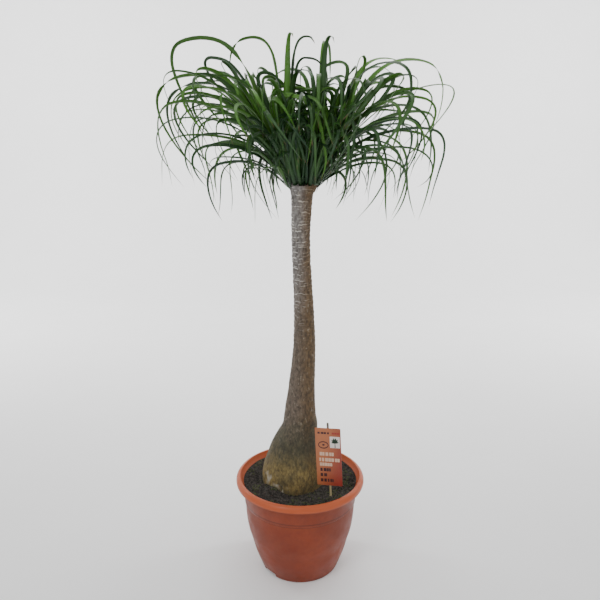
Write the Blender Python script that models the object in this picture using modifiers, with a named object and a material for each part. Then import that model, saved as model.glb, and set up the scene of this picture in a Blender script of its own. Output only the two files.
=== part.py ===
"""Potted ponytail palm: a nursery pot of soil, a swollen trunk with two heads of arching leaves,
and a plant label on a stake.

Metres, +Z up. The origin is on the pot's axis, at the floor. The plant's front faces -Y.
Azimuths are in degrees from +X, anticlockwise seen from above.
"""

import math
import random

import bmesh
import bpy
from mathutils import Matrix, Vector
from mathutils.bvhtree import BVHTree

# ---- Fits -----------------------------------------------------------------
GAP = 0.0003          # clearance between pieces that touch
TINY = 0.00001        # merge distance for points that coincide

# ---- Pot ------------------------------------------------------------------
POT_HEIGHT = 0.259
WALL = 0.003
FLOOR_TOP = 0.014     # inside floor of the pot
FOOT_DEPTH = 0.008    # hollow under the floor, inside the foot ring
FOOT_RING = 0.008
RIM_RADIUS = 0.170
RIM_DROP = 0.019      # height of the rolled rim
WALL_CURVE = ((0.1045, 0.004), (0.121, 0.049), (0.131, 0.086), (0.1395, 0.117), (0.1445, 0.153), (0.146, 0.1895))
BAND_STEP = 0.0025    # the collar above the wall stands out this far
BAND_TOP = (0.1495, 0.238)
RIM_INSIDE = ((0.146, 0.238), (0.1545, 0.250), (0.1590, 0.2575))   # the flared inside of the rim
POT_SIDES = 44
NOTCH_AZIMUTHS = (220, 40)
NOTCH = (0.030, 0.046, 0.014)   # along the radius, across it, and up from the floor
DRAIN_HOLES = 6
DRAIN_RADIUS = 0.006
DRAIN_CIRCLE = 0.055

# ---- Soil: its top from the middle out, as (radius, height); it lies higher at the rim ----
SOIL_TOP = ((0.0, 0.233), (0.100, 0.2345), (0.135, 0.2390), (0.1502, 0.2450))

# ---- Trunk: rings as (height, centre x, centre y, radius), from the buried end up ----
TRUNK = (
    (0.111, -0.0120, 0.004, 0.0300),
    (0.146, -0.0160, 0.005, 0.0600),
    (0.191, -0.0180, 0.005, 0.0740),
    (0.231, -0.0185, 0.005, 0.0785),
    (0.267, -0.0185, 0.005, 0.0805),
    (0.327, -0.0135, 0.004, 0.0670),
    (0.390, 0.0005, 0.002, 0.0484),
    (0.425, -0.0005, 0.001, 0.0421),
    (0.482, 0.0031, 0.000, 0.0361),
    (0.538, 0.0068, 0.000, 0.0320),
    (0.620, 0.0114, 0.001, 0.0280),
    (0.727, 0.0090, 0.001, 0.0248),
    (0.799, 0.0051, 0.000, 0.0231),
    (0.896, 0.0017, 0.000, 0.0227),
    (0.972, 0.0043, 0.000, 0.0255),
    (1.013, 0.0048, 0.000, 0.0263),
    (1.025, 0.0050, 0.000, 0.0220),
)
TRUNK_SIDES = 24
SMOOTH_STEPS = 2      # rings added per row of TRUNK

# ---- The two heads that carry the leaves: short cones that lean apart ------
HEADS = {
    "left": {"foot": (-0.008, 0.004, 1.011), "lean": -20, "length": 0.075, "radii": (0.023, 0.008)},
    "right": {"foot": (0.024, 0.000, 1.011), "lean": 22, "length": 0.065, "radii": (0.020, 0.008)},
}
HEAD_SIDES = 16

# ---- Leaves ---------------------------------------------------------------
LEAF_THICKNESS = 0.0012
LEAF_CHANNEL = 0.16   # depth of the leaf's V channel, as a share of its width
LEAF_BASE = 0.42      # width where it leaves the head, as a share of its full width
LEAF_SWELL = 0.14     # share of the length over which it reaches that width
LEAF_STATIONS = 13
LEAF_SPACE = 0.0009   # leaves are set at least about this far apart
GOLDEN_ANGLE = 137.508

# The long leaves that give the crown its outline. Each row is the head, the azimuth, the tier (0 at the
# head's foot, 1 at its tip), the angle it rises at, its peak and its tip as (reach, height) from the
# leaf's foot, the angle it ends at, its width and its roll.
LONG_LEAVES = (
    ("left", 178, 0.80, 62, (0.185, 0.285), (0.175, 0.035), -112, 0.015, 55),
    ("left", 170, 0.94, 80, (0.070, 0.275), (0.125, 0.205), -92, 0.017, 45),
    ("left", 186, 0.60, 60, (0.185, 0.215), (0.160, -0.040), -140, 0.016, 35),
    ("left", 168, 0.55, 58, (0.212, 0.210), (0.230, 0.000), -132, 0.014, 35),
    ("left", 194, 0.45, 52, (0.180, 0.195), (0.210, 0.050), -138, 0.014, 30),
    ("left", 180, 0.38, 50, (0.175, 0.170), (0.250, 0.075), -98, 0.013, 30),
    ("left", 174, 0.70, 54, (0.190, 0.205), (0.275, 0.110), -82, 0.016, 20),
    ("left", 203, 0.58, 54, (0.160, 0.200), (0.240, 0.100), -84, 0.016, 20),
    ("left", 205, 0.35, 52, (0.150, 0.145), (0.205, 0.025), -82, 0.016, 35),
    ("left", 222, 0.05, 36, (0.045, 0.050), (0.105, -0.080), -86, 0.014, 30),
    ("left", 176, 0.15, 40, (0.110, 0.055), (0.170, -0.075), -70, 0.012, 25),
    ("left", 192, 0.22, 44, (0.090, 0.075), (0.135, -0.070), -72, 0.012, 30),
    ("left", 165, 0.10, 38, (0.080, 0.050), (0.090, -0.060), -95, 0.012, 20),
    ("left", 288, 0.97, 82, (0.030, 0.268), (0.050, 0.255), -45, 0.026, -10),
    ("left", 330, 0.99, 80, (0.042, 0.266), (0.062, 0.250), -45, 0.024, -40),
    ("left", 350, 0.84, 82, (0.030, 0.230), (0.085, 0.135), -68, 0.020, -20),
    ("left", 300, 0.78, 80, (0.050, 0.200), (0.100, 0.030), -84, 0.018, 0),
    ("right", 4, 0.72, 60, (0.205, 0.250), (0.265, 0.095), -112, 0.020, 40),
    ("right", 14, 0.84, 64, (0.175, 0.255), (0.245, 0.215), -62, 0.017, 35),
    ("right", 352, 0.60, 60, (0.160, 0.235), (0.190, 0.065), -105, 0.017, 35),
    ("right", 18, 0.66, 62, (0.205, 0.255), (0.240, 0.110), -98, 0.014, 35),
    ("right", 345, 0.50, 55, (0.115, 0.205), (0.175, 0.140), -60, 0.018, 10),
    ("right", 356, 0.36, 48, (0.145, 0.160), (0.165, -0.025), -128, 0.014, 35),
    ("right", 10, 0.28, 44, (0.145, 0.135), (0.195, 0.025), -100, 0.013, 35),
    ("right", 345, 0.14, 38, (0.115, 0.105), (0.230, -0.070), -66, 0.016, 25),
    ("right", 328, 0.20, 44, (0.105, 0.085), (0.180, -0.080), -78, 0.014, 30),
    ("right", 22, 0.12, 38, (0.145, 0.070), (0.165, -0.070), -112, 0.012, 30),
    ("right", 300, 0.97, 84, (0.035, 0.272), (0.055, 0.255), -50, 0.026, -20),
    ("right", 60, 0.90, 83, (0.040, 0.280), (0.080, 0.200), -80, 0.022, 25),
    ("right", 285, 0.84, 80, (0.050, 0.200), (0.095, 0.080), -86, 0.018, 0),
    ("right", 258, 0.74, 82, (0.040, 0.160), (0.085, 0.028), -86, 0.018, 10),
    ("right", 38, 0.80, 72, (0.070, 0.235), (0.130, 0.190), -60, 0.015, -10),
)
# The rest of the modelled leaves spiral up each head: how many are tried, and the first one's azimuth.
# One with no free place is left out, so each head ends with about LEAVES_PER_HEAD.
SPIRAL_LEAVES = {"left": (16, 95), "right": (18, 40)}
LEAVES_PER_HEAD = {"left": 28, "right": 27}
SPIRAL_SEED = 7
# Tries at a free place: moved this far along the head, and turned this many degrees round it.
TIER_MOVES = (0, -0.05, 0.05, -0.10, -0.15)
TURNS = (0, 4, -4, 8, -8, 12, -12, 17, -17, 23, -23, 30, -30, 40, -40)

# ---- Label and its stake, in the label's own frame: Z along the stake, from the soil ----
LABEL_FOOT = (0.0792, -0.079, 0.230)
LABEL_LEAN = -3.0
LABEL_TURN = -14.0    # about the upright axis, which brings the right side forward
CARD_SIZE = (0.065, 0.0008, 0.156)
CARD_BOTTOM = 0.0398
STAKE_RADIUS = 0.0027
STAKE_TOP = 0.2080
STAKE_BURIED = 0.060
SLEEVE_WALL = 0.0012
SLEEVE_ENDS = (0.040, 0.172)
SLEEVE_SIDES = 16


def clear_scene():
    for obj in list(bpy.data.objects):
        bpy.data.objects.remove(obj, do_unlink=True)


def new_collection(name):
    group = bpy.data.collections.new(name)
    bpy.context.scene.collection.children.link(group)
    return group


def new_material(name, colour, roughness):
    material = bpy.data.materials.new(name)
    material.use_nodes = True
    shader = material.node_tree.nodes["Principled BSDF"]
    shader.inputs["Base Color"].default_value = (*colour, 1.0)
    shader.inputs["Roughness"].default_value = roughness
    shader.inputs["Metallic"].default_value = 0.0
    return material


def add_object(name, mesh, group, material=None):
    obj = bpy.data.objects.new(name, mesh)
    group.objects.link(obj)
    if material:
        mesh.materials.append(material)
    return obj


def smooth_through(rows, steps):
    """Rows of numbers with steps more between each two, on a Catmull-Rom curve through them."""
    out = []
    last = len(rows) - 1
    for i in range(last):
        before, here, there, after = rows[max(i - 1, 0)], rows[i], rows[i + 1], rows[min(i + 2, last)]
        for k in range(steps):
            t = k / steps
            out.append(tuple(
                0.5 * (2 * b + (c - a) * t + (2 * a - 5 * b + 4 * c - d) * t ** 2 + (3 * b - a - 3 * c + d) * t ** 3)
                for a, b, c, d in zip(before, here, there, after)
            ))
    out.append(tuple(rows[last]))
    return out


def turned(name, profile, sides, group, material=None):
    """A solid of revolution about Z from (radius, height) points, down its outer side."""
    mesh = bpy.data.meshes.new(name)
    edges = [(i, i + 1) for i in range(len(profile) - 1)]
    mesh.from_pydata([(r, 0.0, z) for r, z in profile], edges, [])
    obj = add_object(name, mesh, group, material)
    screw = obj.modifiers.new("turn", "SCREW")
    screw.steps = sides
    screw.render_steps = sides
    screw.use_merge_vertices = True
    screw.merge_threshold = TINY
    return obj


def rod(name, rings, sides, group, material=None, growth=0.0):
    """A closed rod through rings of (x, y, z, radius), as a mesh."""
    curve = bpy.data.curves.new(name, "CURVE")
    curve.dimensions = "3D"
    curve.bevel_depth = 1.0
    curve.bevel_resolution = (sides - 4) // 2
    curve.use_fill_caps = True
    spline = curve.splines.new("POLY")
    spline.points.add(len(rings) - 1)
    for point, (x, y, z, radius) in zip(spline.points, rings):
        point.co = (x, y, z, 1.0)
        point.radius = radius + growth
    guide = bpy.data.objects.new(name + "_curve", curve)
    group.objects.link(guide)
    bpy.context.view_layer.update()
    mesh = bpy.data.meshes.new_from_object(guide.evaluated_get(bpy.context.evaluated_depsgraph_get()))
    bpy.data.objects.remove(guide, do_unlink=True)
    mesh.name = name
    shape = bmesh.new()
    shape.from_mesh(mesh)
    bmesh.ops.remove_doubles(shape, verts=shape.verts, dist=TINY)
    bmesh.ops.recalc_face_normals(shape, faces=shape.faces)
    shape.to_mesh(mesh)
    shape.free()
    mesh.materials.clear()
    return add_object(name, mesh, group, material)


def boolean(target, tool, operation):
    step = target.modifiers.new(tool.name, "BOOLEAN")
    step.operation = operation
    step.object = tool
    tool.hide_render = True
    tool.display_type = "WIRE"


def primitive(name, add, group, material=None):
    """An object whose mesh is filled by a bmesh.ops function."""
    mesh = bpy.data.meshes.new(name)
    shape = bmesh.new()
    add(shape)
    shape.to_mesh(mesh)
    shape.free()
    return add_object(name, mesh, group, material)


def box(name, size, place, group, material=None):
    return primitive(
        name,
        lambda shape: bmesh.ops.create_cube(shape, size=1.0, matrix=place @ Matrix.Diagonal((*size, 1.0))),
        group, material,
    )


def cylinder(name, radius, bottom, top, sides, place, group, material=None):
    """A cylinder along the placement's Z, between two heights on it."""
    middle = Matrix.Translation((0.0, 0.0, (bottom + top) / 2))
    return primitive(
        name,
        lambda shape: bmesh.ops.create_cone(
            shape, cap_ends=True, segments=sides, radius1=radius, radius2=radius,
            depth=top - bottom, matrix=place @ middle,
        ),
        group, material,
    )


# ---- Pot and soil -----------------------------------------------------------
def wall_line(inset):
    """The wall's curve, moved in by inset."""
    return [(r - inset, z) for r, z in smooth_through(WALL_CURVE, 2)]


def rim_profile():
    """The rolled rim's section, from the inside edge of the mouth over to the underside."""
    middle = RIM_RADIUS - 0.010
    out = list(RIM_INSIDE)
    for k in range(6):
        angle = math.radians(90 - 24 * k)
        out.append((middle + 0.010 * math.cos(angle), POT_HEIGHT - 0.012 + 0.012 * math.sin(angle)))
    out.append((middle + 0.003, POT_HEIGHT - RIM_DROP))
    return out


def make_pot(group, tools, material):
    inner = [(0.0, FLOOR_TOP)] + [(r, max(z, FLOOR_TOP)) for r, z in wall_line(WALL)]
    outer_top = [BAND_TOP, (WALL_CURVE[-1][0] + BAND_STEP, WALL_CURVE[-1][1] + 0.001)]
    outer = [(r, z) for r, z in reversed(wall_line(0.0))]
    foot_radius = WALL_CURVE[0][0] - 0.003
    foot = [(foot_radius, 0.0), (foot_radius - FOOT_RING, 0.0), (foot_radius - FOOT_RING, FOOT_DEPTH)]
    profile = inner + rim_profile() + outer_top + outer + foot + [(0.0, FOOT_DEPTH)]
    pot = turned("pot", profile, POT_SIDES, group, material)
    for number, azimuth in enumerate(NOTCH_AZIMUTHS):
        place = Matrix.Rotation(math.radians(azimuth), 4, "Z")
        centre = Matrix.Translation((WALL_CURVE[0][0], 0.0, (NOTCH[2] - 0.002) / 2))
        size = (NOTCH[0], NOTCH[1], NOTCH[2] + 0.002)
        boolean(pot, box(f"notch_{number}", size, place @ centre, tools), "DIFFERENCE")
    for number in range(DRAIN_HOLES):
        place = Matrix.Rotation(math.tau * number / DRAIN_HOLES, 4, "Z") @ Matrix.Translation((DRAIN_CIRCLE, 0, 0))
        hole = cylinder(f"drain_{number}", DRAIN_RADIUS, 0.0, FLOOR_TOP + 0.004, 12, place, tools)
        boolean(pot, hole, "DIFFERENCE")
    return pot


def make_soil(group, tools, material):
    side = [(r, z) for r, z in wall_line(WALL + 2 * GAP) if z > FLOOR_TOP + GAP]
    under_rim = (RIM_INSIDE[0][0] - 0.0007, RIM_INSIDE[0][1] + GAP)
    floor = FLOOR_TOP + 2 * GAP
    bottom = [(WALL_CURVE[0][0] - WALL - 3 * GAP, floor), (0.0, floor)]
    soil = turned("soil", [*SOIL_TOP, under_rim] + list(reversed(side)) + bottom, POT_SIDES, group, material)
    boolean(soil, rod("trunk_room", trunk_rings(), TRUNK_SIDES, tools, growth=2 * GAP), "DIFFERENCE")
    room = cylinder("stake_room", STAKE_RADIUS + 2 * GAP, -STAKE_BURIED - GAP, 0.03, 12, label_place(), tools)
    boolean(soil, room, "DIFFERENCE")
    return soil


# ---- Trunk and heads ----------------------------------------------------------
def trunk_rings():
    return [(x, y, z, radius) for z, x, y, radius in smooth_through(TRUNK, SMOOTH_STEPS)]


def head_axis(head):
    lean = math.radians(head["lean"])
    return Vector((math.sin(lean), 0.0, math.cos(lean)))


def head_radius(head, tier):
    low, high = head["radii"]
    return low + (high - low) * tier


def head_rings(head):
    """The head's cone, from inside the trunk to its rounded tip."""
    rings = []
    buried = 0.022
    rounding = 0.006
    places = ((-buried, head["radii"][0] * 0.8), (0.0, head_radius(head, 0.0)))
    places += ((head["length"] / 2, head_radius(head, 0.5)), (head["length"], head_radius(head, 1.0)))
    places += ((head["length"] + rounding, head["radii"][1] * 0.4),)
    for along, radius in places:
        rings.append((*(Vector(head["foot"]) + head_axis(head) * along), radius))
    return rings


def make_trunk(group, tools, material):
    trunk = rod("trunk", trunk_rings(), TRUNK_SIDES, group, material)
    for name, head in HEADS.items():
        boolean(trunk, rod(f"head_{name}", head_rings(head), HEAD_SIDES, tools), "UNION")
    return trunk


# ---- Leaves -------------------------------------------------------------------
def bezier(points, t):
    weights = ((1 - t) ** 3, 3 * t * (1 - t) ** 2, 3 * t * t * (1 - t), t ** 3)
    return Vector((sum(w * p[0] for w, p in zip(weights, points)), sum(w * p[1] for w, p in zip(weights, points))))


def arch(rise, peak, tip, fall):
    """A leaf's course in its own upright plane, as (reach, height) points close together."""
    up, down = math.radians(rise), math.radians(fall)
    climb = math.hypot(*peak)
    drop = math.hypot(tip[0] - peak[0], tip[1] - peak[1])
    lead = min(0.35 * climb, peak[0] + 0.01)
    near = [(0, 0), (0.45 * climb * math.cos(up), 0.45 * climb * math.sin(up)), (peak[0] - lead, peak[1]), peak]
    curl = max(0.0, min(1.0, (-100 - fall) / 40))
    back = (0.45 + 0.12 * curl) * drop
    far_handle = (tip[0] - back * math.cos(down), tip[1] - back * math.sin(down))
    far = [peak, (peak[0] + (0.50 + 0.25 * curl) * drop, peak[1]), far_handle, tip]
    count = 40
    return [bezier(near, k / count) for k in range(count)] + [bezier(far, k / count) for k in range(count + 1)]


def leaf_stations(points):
    """Places along a course: as (point, share of its length), closer where it bends."""
    length, effort = [0.0], [0.0]
    for i in range(1, len(points)):
        step = (points[i] - points[i - 1]).length
        bend = 0.0
        if i > 1:
            bend = (points[i] - points[i - 1]).angle(points[i - 1] - points[i - 2])
        length.append(length[-1] + step)
        effort.append(effort[-1] + step + 0.07 * bend)
    out = []
    place = 1
    for k in range(LEAF_STATIONS):
        want = effort[-1] * k / (LEAF_STATIONS - 1)
        while place < len(points) - 1 and effort[place] < want:
            place += 1
        share = (want - effort[place - 1]) / (effort[place] - effort[place - 1])
        point = points[place - 1].lerp(points[place], share)
        out.append((point, (length[place - 1] + share * (length[place] - length[place - 1])) / length[-1]))
    return out


def leaf_width(share, width):
    swell = min(1.0, LEAF_BASE + (1 - LEAF_BASE) * share / LEAF_SWELL)
    return width * swell * (1 - share) ** 0.55


def leaf_foot(head, azimuth, tier, away):
    """The point on a head that a leaf grows from, away from its skin, and the way out."""
    axis = head_axis(head)
    out = Vector((math.cos(azimuth), math.sin(azimuth), 0.0))
    skin = (out - axis * out.dot(axis)).normalized()
    middle = Vector(head["foot"]) + axis * head["length"] * tier
    return middle + skin * (head_radius(head, tier) + away), out


def leaf_rings(leaf, away, spare=0.0):
    """The leaf's sections, each the left edge, underside, right edge and upper side. The last is its tip."""
    head_name, azimuth, tier, rise, peak, tip, fall, width, roll = leaf
    foot, out = leaf_foot(HEADS[head_name], math.radians(azimuth), tier, away)
    side = Vector((-out.y, out.x, 0.0))
    stations = leaf_stations(arch(rise, peak, tip, fall))
    spots = [(foot + out * p.x + Vector((0, 0, p.y)), share) for p, share in stations]
    rings = []
    for i, (spot, share) in enumerate(spots[:-1]):
        along = (spots[i + 1][0] - spots[max(i - 1, 0)][0]).normalized()
        turn = Matrix.Rotation(math.radians(roll) * min(1.0, share / 0.4), 3, along)
        across = turn @ side
        upper = along.cross(across)
        half = (leaf_width(share, width) + spare) / 2
        thick = (LEAF_THICKNESS * (1 - 0.5 * share) + spare) / 2
        channel = 2 * half * LEAF_CHANNEL * min(1.0, share / 0.12)
        rings.append((
            spot + across * half + upper * channel,
            spot - upper * thick,
            spot - across * half + upper * channel,
            spot + upper * thick,
        ))
    return rings, spots[-1][0]


def leaf_faces(rings):
    """Faces of a leaf whose points are its sections in order, then its tip.

    Its two sides are cut into triangles alike, from an edge to the next section's rib, so that they
    never cross where the thin blade twists.
    """
    count = len(rings)
    faces = [(0, 3, 2, 1)]
    for i in range(count - 1):
        left, under, right, upper = (4 * i + k for k in range(4))
        faces += [(left, under, under + 4), (left, under + 4, left + 4)]
        faces += [(upper, left, upper + 4), (left, left + 4, upper + 4)]
        faces += [(under, right, under + 4), (right, right + 4, under + 4)]
        faces += [(right, upper, upper + 4), (right, upper + 4, right + 4)]
    end = 4 * (count - 1)
    faces += [(end + k, end + (k + 1) % 4, 4 * count) for k in range(4)]
    return faces


def leaf_points(rings, tip):
    return [point for ring in rings for point in ring] + [tip]


def leaf_tree(leaf, away, spare):
    rings, tip = leaf_rings(leaf, away, spare)
    return BVHTree.FromPolygons(leaf_points(rings, tip), leaf_faces(rings))


def blend(low, high, share):
    return low + (high - low) * share


def spiral_leaves(head_name, count, first, draw):
    """Shorter leaves at the golden angle up a head: low ones spread and hang, high and front ones stand."""
    out = []
    for i in range(count):
        tier = (i + 0.5) / count
        azimuth = (first + GOLDEN_ANGLE * i) % 360
        sideways = abs(math.cos(math.radians(azimuth)))
        front = max(0.0, -math.sin(math.radians(azimuth)))
        inward = max(0.0, -math.cos(math.radians(azimuth)) * math.copysign(1, HEADS[head_name]["lean"]))
        spread = 0.11 + 0.10 * math.sin(math.pi * min(tier, 0.5))
        if tier > 0.5:
            spread = blend(0.21, 0.06, ((tier - 0.5) / 0.5) ** 1.5)
        reach = spread * (0.60 + 0.40 * sideways) * (1 - 0.10 * front) * (1 - 0.55 * inward)
        reach *= draw.uniform(0.75, 1.05)
        height = blend(0.05, 0.25, tier) * draw.uniform(0.85, 1.05)
        height = blend(height, 0.10 + 0.55 * height, front)
        hang = (0.12 + 0.09 * math.sin(math.pi * tier)) * draw.uniform(0.7, 1.1) * (0.40 + 0.60 * sideways)
        tip = (reach * (1 + blend(0.5, 0.35, tier) * draw.uniform(0.6, 1.2)), height - hang)
        rise = blend(36, 82, tier ** 0.8) + draw.uniform(-4, 4)
        rise = blend(rise, max(rise, 74), max(front, inward))
        fall = -(draw.uniform(75, 105) + 30 * sideways * draw.random())
        width = draw.uniform(0.013, 0.016)
        roll = draw.choice((-1, 1)) * draw.uniform(20, 50)
        out.append((head_name, azimuth, tier, rise, (reach, height), tip, fall, width, roll))
    return out


def clear_of_trunk(leaf, trunk_tree):
    """How far the leaf's foot stands off its head to be clear of it, or None where nothing helps."""
    for step in range(12):
        away = 0.0008 + 0.0004 * step
        if not leaf_tree(leaf, away, 2 * GAP).overlap(trunk_tree):
            return away
    return None


def place_leaf(leaf, trunk_tree, others):
    """The leaf in the first free place near its own, how far its foot stands off, and its search tree.

    None where there is no free place.
    """
    head_name, azimuth, tier = leaf[:3]
    for move in TIER_MOVES:
        for turn in TURNS:
            trial = (head_name, azimuth + turn, max(0.02, min(1.0, tier + move))) + leaf[3:]
            away = clear_of_trunk(trial, trunk_tree)
            if away is None:
                continue
            tree = leaf_tree(trial, away, 2 * LEAF_SPACE)
            if not any(tree.overlap(other) for other in others):
                return trial, away, tree
    return None


def make_leaves(group, material, trunk):
    bpy.context.view_layer.update()
    trunk_tree = BVHTree.FromObject(trunk, bpy.context.evaluated_depsgraph_get())
    draw = random.Random(SPIRAL_SEED)
    wanted = list(LONG_LEAVES)
    for head_name, (count, first) in SPIRAL_LEAVES.items():
        wanted += spiral_leaves(head_name, count, first, draw)
    trees = []
    numbers = {name: 0 for name in HEADS}
    for leaf in wanted:
        found = place_leaf(leaf, trunk_tree, trees)
        if found is None or numbers[leaf[0]] == LEAVES_PER_HEAD[leaf[0]]:
            continue
        placed, away, tree = found
        trees.append(tree)
        numbers[leaf[0]] += 1
        rings, tip = leaf_rings(placed, away)
        name = f"leaf_{leaf[0]}_{numbers[leaf[0]]:02d}"
        mesh = bpy.data.meshes.new(name)
        mesh.from_pydata(leaf_points(rings, tip), [], leaf_faces(rings))
        shape = bmesh.new()
        shape.from_mesh(mesh)
        bmesh.ops.recalc_face_normals(shape, faces=shape.faces)
        shape.to_mesh(mesh)
        shape.free()
        mesh.shade_smooth()
        add_object(name, mesh, group, material)


# ---- Label ----------------------------------------------------------------------
def label_place():
    turn = Matrix.Rotation(math.radians(LABEL_TURN), 4, "Z")
    return Matrix.Translation(LABEL_FOOT) @ turn @ Matrix.Rotation(math.radians(LABEL_LEAN), 4, "Y")


def make_label(group, tools, card_material, stake_material):
    place = label_place()
    cylinder("label_stake", STAKE_RADIUS, -STAKE_BURIED, STAKE_TOP, 12, place, group, stake_material)
    bore = STAKE_RADIUS + GAP
    back = bore + SLEEVE_WALL - 0.0004
    middle = Matrix.Translation((0.0, -back - CARD_SIZE[1] / 2, CARD_BOTTOM + CARD_SIZE[2] / 2))
    label = box("label", CARD_SIZE, place @ middle, group, card_material)
    low, high = SLEEVE_ENDS
    sleeve = cylinder("sleeve", bore + SLEEVE_WALL, low, high, SLEEVE_SIDES, place, tools)
    boolean(label, sleeve, "UNION")
    hole = cylinder("sleeve_bore", bore, low - 0.01, high + 0.01, SLEEVE_SIDES, place, tools)
    boolean(label, hole, "DIFFERENCE")


def main():
    clear_scene()
    palm = new_collection("potted_ponytail_palm")
    tools = new_collection("cutters")
    terracotta = new_material("terracotta_plastic", (0.25, 0.054, 0.023), 0.45)
    earth = new_material("earth", (0.035, 0.022, 0.014), 0.95)
    bark = new_material("bark", (0.16, 0.12, 0.075), 0.85)
    leaf_green = new_material("leaf_green", (0.035, 0.085, 0.025), 0.4)
    card = new_material("printed_card", (0.60, 0.16, 0.07), 0.5)
    cane = new_material("cane", (0.45, 0.30, 0.15), 0.6)
    make_pot(palm, tools, terracotta)
    make_soil(palm, tools, earth)
    trunk = make_trunk(palm, tools, bark)
    make_leaves(palm, leaf_green, trunk)
    make_label(palm, tools, card, cane)


main()
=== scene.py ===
"""The looks of the potted ponytail palm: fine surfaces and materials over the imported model.

Metres, +Z up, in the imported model's frame. The plant's front faces -Y. Azimuths are in degrees from +X.
"""
import math
import random

import bmesh
import bpy
from mathutils import Matrix, Vector, noise
from mathutils.bvhtree import BVHTree


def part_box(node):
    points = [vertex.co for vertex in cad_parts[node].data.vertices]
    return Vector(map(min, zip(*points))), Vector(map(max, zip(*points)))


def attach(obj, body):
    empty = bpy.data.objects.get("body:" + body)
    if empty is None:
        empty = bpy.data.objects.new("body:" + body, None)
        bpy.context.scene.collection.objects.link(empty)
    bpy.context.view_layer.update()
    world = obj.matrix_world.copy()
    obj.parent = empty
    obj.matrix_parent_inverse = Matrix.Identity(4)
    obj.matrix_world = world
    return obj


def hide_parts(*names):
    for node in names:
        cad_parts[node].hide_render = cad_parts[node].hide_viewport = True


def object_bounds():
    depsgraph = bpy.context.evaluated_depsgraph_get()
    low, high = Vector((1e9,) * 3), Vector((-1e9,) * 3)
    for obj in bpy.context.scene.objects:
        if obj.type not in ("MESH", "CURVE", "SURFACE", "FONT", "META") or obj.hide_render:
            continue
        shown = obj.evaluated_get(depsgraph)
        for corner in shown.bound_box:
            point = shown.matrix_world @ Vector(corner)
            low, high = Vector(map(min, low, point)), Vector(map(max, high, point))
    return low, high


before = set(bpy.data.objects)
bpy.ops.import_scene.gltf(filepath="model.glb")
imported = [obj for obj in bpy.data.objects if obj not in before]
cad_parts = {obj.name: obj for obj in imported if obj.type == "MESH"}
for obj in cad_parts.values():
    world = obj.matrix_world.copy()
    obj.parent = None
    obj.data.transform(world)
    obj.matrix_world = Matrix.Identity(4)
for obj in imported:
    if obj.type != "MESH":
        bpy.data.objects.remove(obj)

CAD_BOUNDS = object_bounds()
BODY = "root"
WELD = 0.00001

# ---- Pot: its wall as shares of the rim's radius and of the pot's height ----
POT_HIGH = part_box("pot")[1]
RIM_RADIUS = POT_HIGH[0]
POT_HEIGHT = POT_HIGH[2]
WALL = 0.003
WALL_CURVE = (
    (0.615, 0.0155), (0.712, 0.189), (0.7705, 0.332), (0.8205, 0.452), (0.850, 0.591), (0.859, 0.7316),
)
COLLAR_FOOT = (0.8735, 0.7355)
COLLAR_TOP = (0.8794, 0.9189)
RIM_INSIDE = ((0.8588, 0.9189), (0.8838, 0.9425), (0.9088, 0.9653), (0.9212, 0.9810), (0.9300, 0.9942))
RIM_THICK = 0.020     # the rolled rim's width
RIM_DROP = 0.019      # its height
RIM_ROUND = 0.012     # and how far down its round top goes
RIM_ARC = (98, 128)   # where the round top starts and how far it turns, in degrees
RIM_STEPS = 16
RIM_UNDERSIDE = ((0.0062, 0.0012), (0.0045, 0.0), (0.0005, 0.0004))   # out from its middle, up from its foot
COLLAR_EDGE = ((0.0, 0.0012), (0.0004, 0.0002))   # in and up from the collar's foot, in metres
FLOOR_TOP = 0.014
FOOT_DEPTH = 0.008
FOOT_RING = 0.008
FOOT_INSET = 0.003
FOOT_EDGE = ((0.0018, 0.0022), (0.0006, 0.0006), (-0.001, 0.0))   # its rounded edge, out and up
POT_SIDES = 176
NOTCH_AZIMUTHS = (220, 40)
NOTCH = (0.030, 0.046, 0.014)   # along the radius, across it, and up
NOTCH_BELOW = 0.004             # how far the cutting box goes under the foot
NOTCH_ROUND = 0.004
DRAIN_HOLES = 6
DRAIN_RADIUS = 0.006
DRAIN_CIRCLE = 0.055

# ---- Soil: the rise of its top from the middle to the rim, as (share of its radius, share of the rise) ----
SOIL_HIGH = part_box("soil")[1]
SOIL_RADIUS = SOIL_HIGH[0]
SOIL_EDGE = SOIL_HIGH[2]
SOIL_RISE = 0.0120
SOIL_CURVE = ((0.0, 0.0), (0.666, 0.125), (0.899, 0.50), (1.0, 1.0))
SOIL_RINGS = 56
SOIL_SIDES = 150
MOSS_MOUND = (-0.083, -0.066, 0.036, 0.019)   # x, y, breadth and height of the heap on the front left
LUMPS = ((0.0026, 0.035, 3.1), (0.0020, 0.012, 7.7), (0.0013, 0.005, 1.3))   # height, size and noise seed
SOIL_GAP = 0.0008     # between the soil and the pot's wall
SOIL_CORNER = 0.004   # taken off its lowest edge
SOIL_LIFT = 0.0006    # its bottom above the pot's floor
CRUMBS = 1700
MOSS_TUFTS = 420
CRUMB_MARGIN = 0.004
CRUMB_BREADTH = (0.5, 1.0)     # least and most, as shares of a crumb's length
CRUMB_TALL = (0.7, 1.3)        # and of its usual height
CRUMB_ROUGH = (0.72, 1.15)
CRUMB_TIP = 0.6                # most tilt either way, in radians
CRUMB_LIFT = 0.25              # its middle above the soil, as a share of its height

# ---- Label ----
CARD_THICK = 0.0008
STAKE_RADIUS = 0.0027
SLEEVE_INSIDE = 0.0030
SLEEVE_OUTSIDE = 0.0042
SLEEVE_SPAN = (0.3731, 0.8657)   # as shares of the stake's length
SLEEVE_SIDES = 32
STAKE_SIDES = 20
END_REACH = 0.004     # the stake's points this near its lowest or highest one are on that end

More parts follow.
